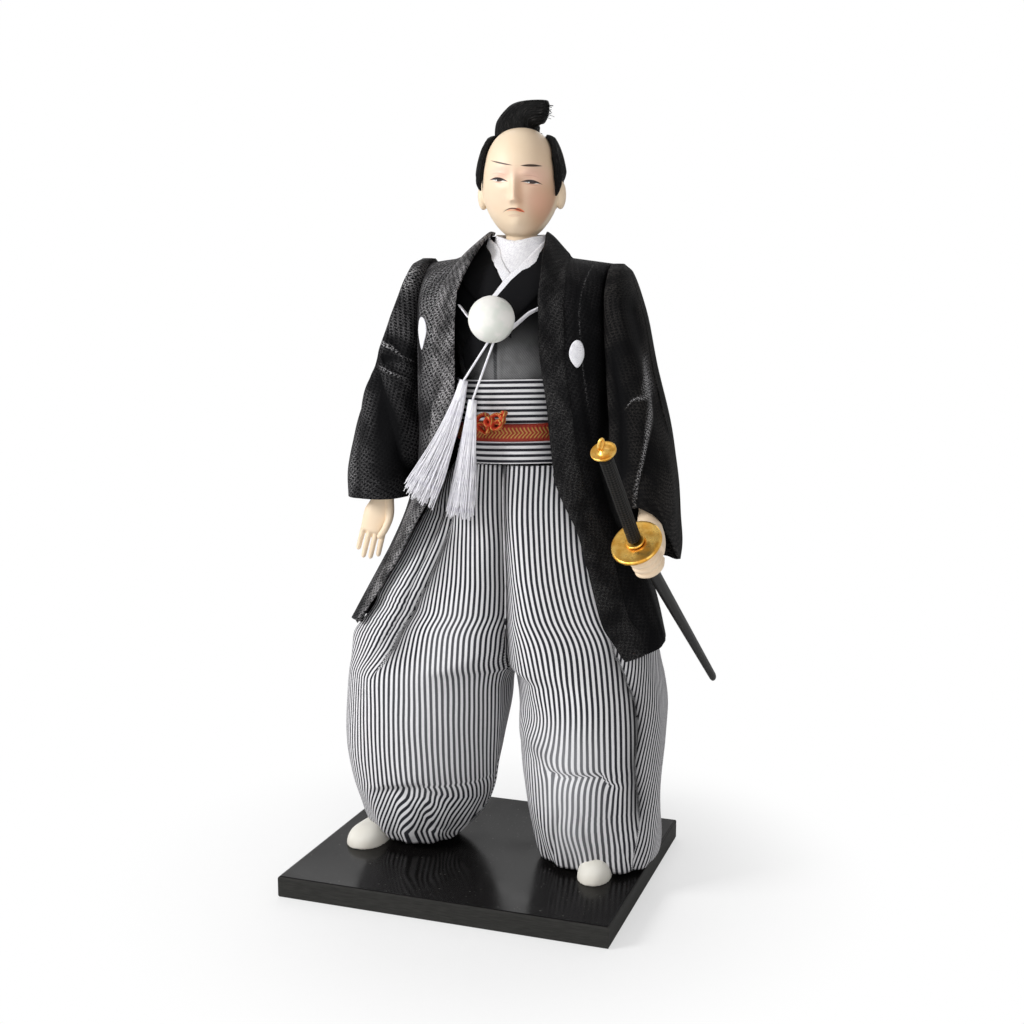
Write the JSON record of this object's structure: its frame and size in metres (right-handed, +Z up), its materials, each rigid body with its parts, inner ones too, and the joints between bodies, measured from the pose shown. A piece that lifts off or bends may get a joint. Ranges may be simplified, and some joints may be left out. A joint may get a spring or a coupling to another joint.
{
  "type": "cloth samurai doll",
  "caption": "Standing cloth samurai doll on a flat lacquered board, with striped trousers, an open coat, a turning head, swinging arms and a sheathed sword in its left fist.",
  "frame": {"origin": "centre of the board's underside, on the surface that the doll stands on", "axes": "+Z up, -Y the way the doll faces, and +X towards the doll's left hand"},
  "size_m": [0.1512, 0.1211, 0.3],
  "materials": {
    "black_lacquer": "gloss black lacquer",
    "white_sock": "off-white cotton",
    "iron_wire": "annealed wire",
    "wadding": "soft white wadding",
    "straw_core": "bound straw",
    "striped_cotton": "black and white striped cotton",
    "black_cotton": "matte black cotton",
    "white_cotton": "white cotton",
    "red_gold_braid": "red and gold braid",
    "brocade": "black figured weave with a soft sheen",
    "white_silk": "white silk thread",
    "painted_skin": "matte painted skin",
    "black_gloss": "gloss black",
    "gold_metal": "mottled gold",
    "black_wrap": "black wrapped grip",
    "plain_wood": "plain turned wood",
    "black_hair": "glossy black thread"
  },
  "bodies": {
    "figure": {"base_board": "black_lacquer", "right_foot": "white_sock", "left_foot": "white_sock", "right_leg_wire": "iron_wire", "left_leg_wire": "iron_wire", "right_leg_padding": "wadding", "left_leg_padding": "wadding", "right_trouser_leg": "striped_cotton", "left_trouser_leg": "striped_cotton", "torso_core": "straw_core", "shoulder_wire": "iron_wire", "kimono_body": "black_cotton", "under_collar": "white_cotton", "kimono_right_collar": "black_cotton", "kimono_left_collar": "black_cotton", "waist_sash": "striped_cotton", "waist_cord": "red_gold_braid", "waist_cord_knot": "red_gold_braid", "coat_back": "brocade", "coat_right_front": "brocade", "coat_right_lapel": "brocade", "coat_left_front": "brocade", "coat_left_lapel": "brocade", "coat_neck_band": "brocade", "right_crest": "white_cotton", "left_crest": "white_cotton", "coat_ball": "white_cotton", "right_coat_cord": "white_silk", "left_coat_cord": "white_silk"},
    "head": {"doll_head": "painted_skin", "neck_peg": "plain_wood", "left_side_hair": "black_hair", "back_hair": "black_hair", "right_side_hair": "black_hair", "topknot": "black_hair"},
    "right_arm": {"right_sleeve": "brocade", "right_arm_wire": "iron_wire", "right_hand": "painted_skin"},
    "left_arm": {"left_sleeve": "brocade", "left_arm_wire": "iron_wire", "left_hand": "painted_skin"},
    "sword": {"scabbard": "black_gloss", "sword_guard": "gold_metal", "lower_guard_washer": "gold_metal", "upper_guard_washer": "gold_metal", "sword_hilt": "black_wrap", "sword_pommel": "gold_metal", "pommel_ring": "gold_metal"},
    "right_tassel_hang": {"right_tassel_cord": "white_silk", "right_tassel": "white_silk"},
    "left_tassel_hang": {"left_tassel_cord": "white_silk", "left_tassel": "white_silk"}
  },
  "joints": [
    {"name": "head_turn", "type": "hinge", "parent": "figure", "child": "head", "pos_m": [0.0135, 0.002, 0.24], "axis": [0, 0, 1], "range_deg": [-30, 30]},
    {"name": "right_arm_swing", "type": "hinge", "parent": "figure", "child": "right_arm", "pos_m": [-0.0226, 0.0066, 0.2324], "axis": [1, 0, 0], "range_deg": [-40, 0]},
    {"name": "left_arm_swing", "type": "hinge", "parent": "figure", "child": "left_arm", "pos_m": [0.0496, 0.0066, 0.2324], "axis": [1, 0, 0], "range_deg": [-40, 0]},
    {"name": "sword_slide", "type": "slide", "parent": "left_arm", "child": "sword", "axis": [-0.179, -0.6932, 0.6982], "range_m": [0, 0.06]},
    {"name": "right_tassel_swing", "type": "hinge", "parent": "figure", "child": "right_tassel_hang", "pos_m": [0.0119, -0.0285, 0.212], "axis": [1, 0, 0], "range_deg": [-30, 0]},
    {"name": "left_tassel_swing", "type": "hinge", "parent": "figure", "child": "left_tassel_hang", "pos_m": [0.0137, -0.0285, 0.2118], "axis": [1, 0, 0], "range_deg": [-30, 0]}
  ]
}
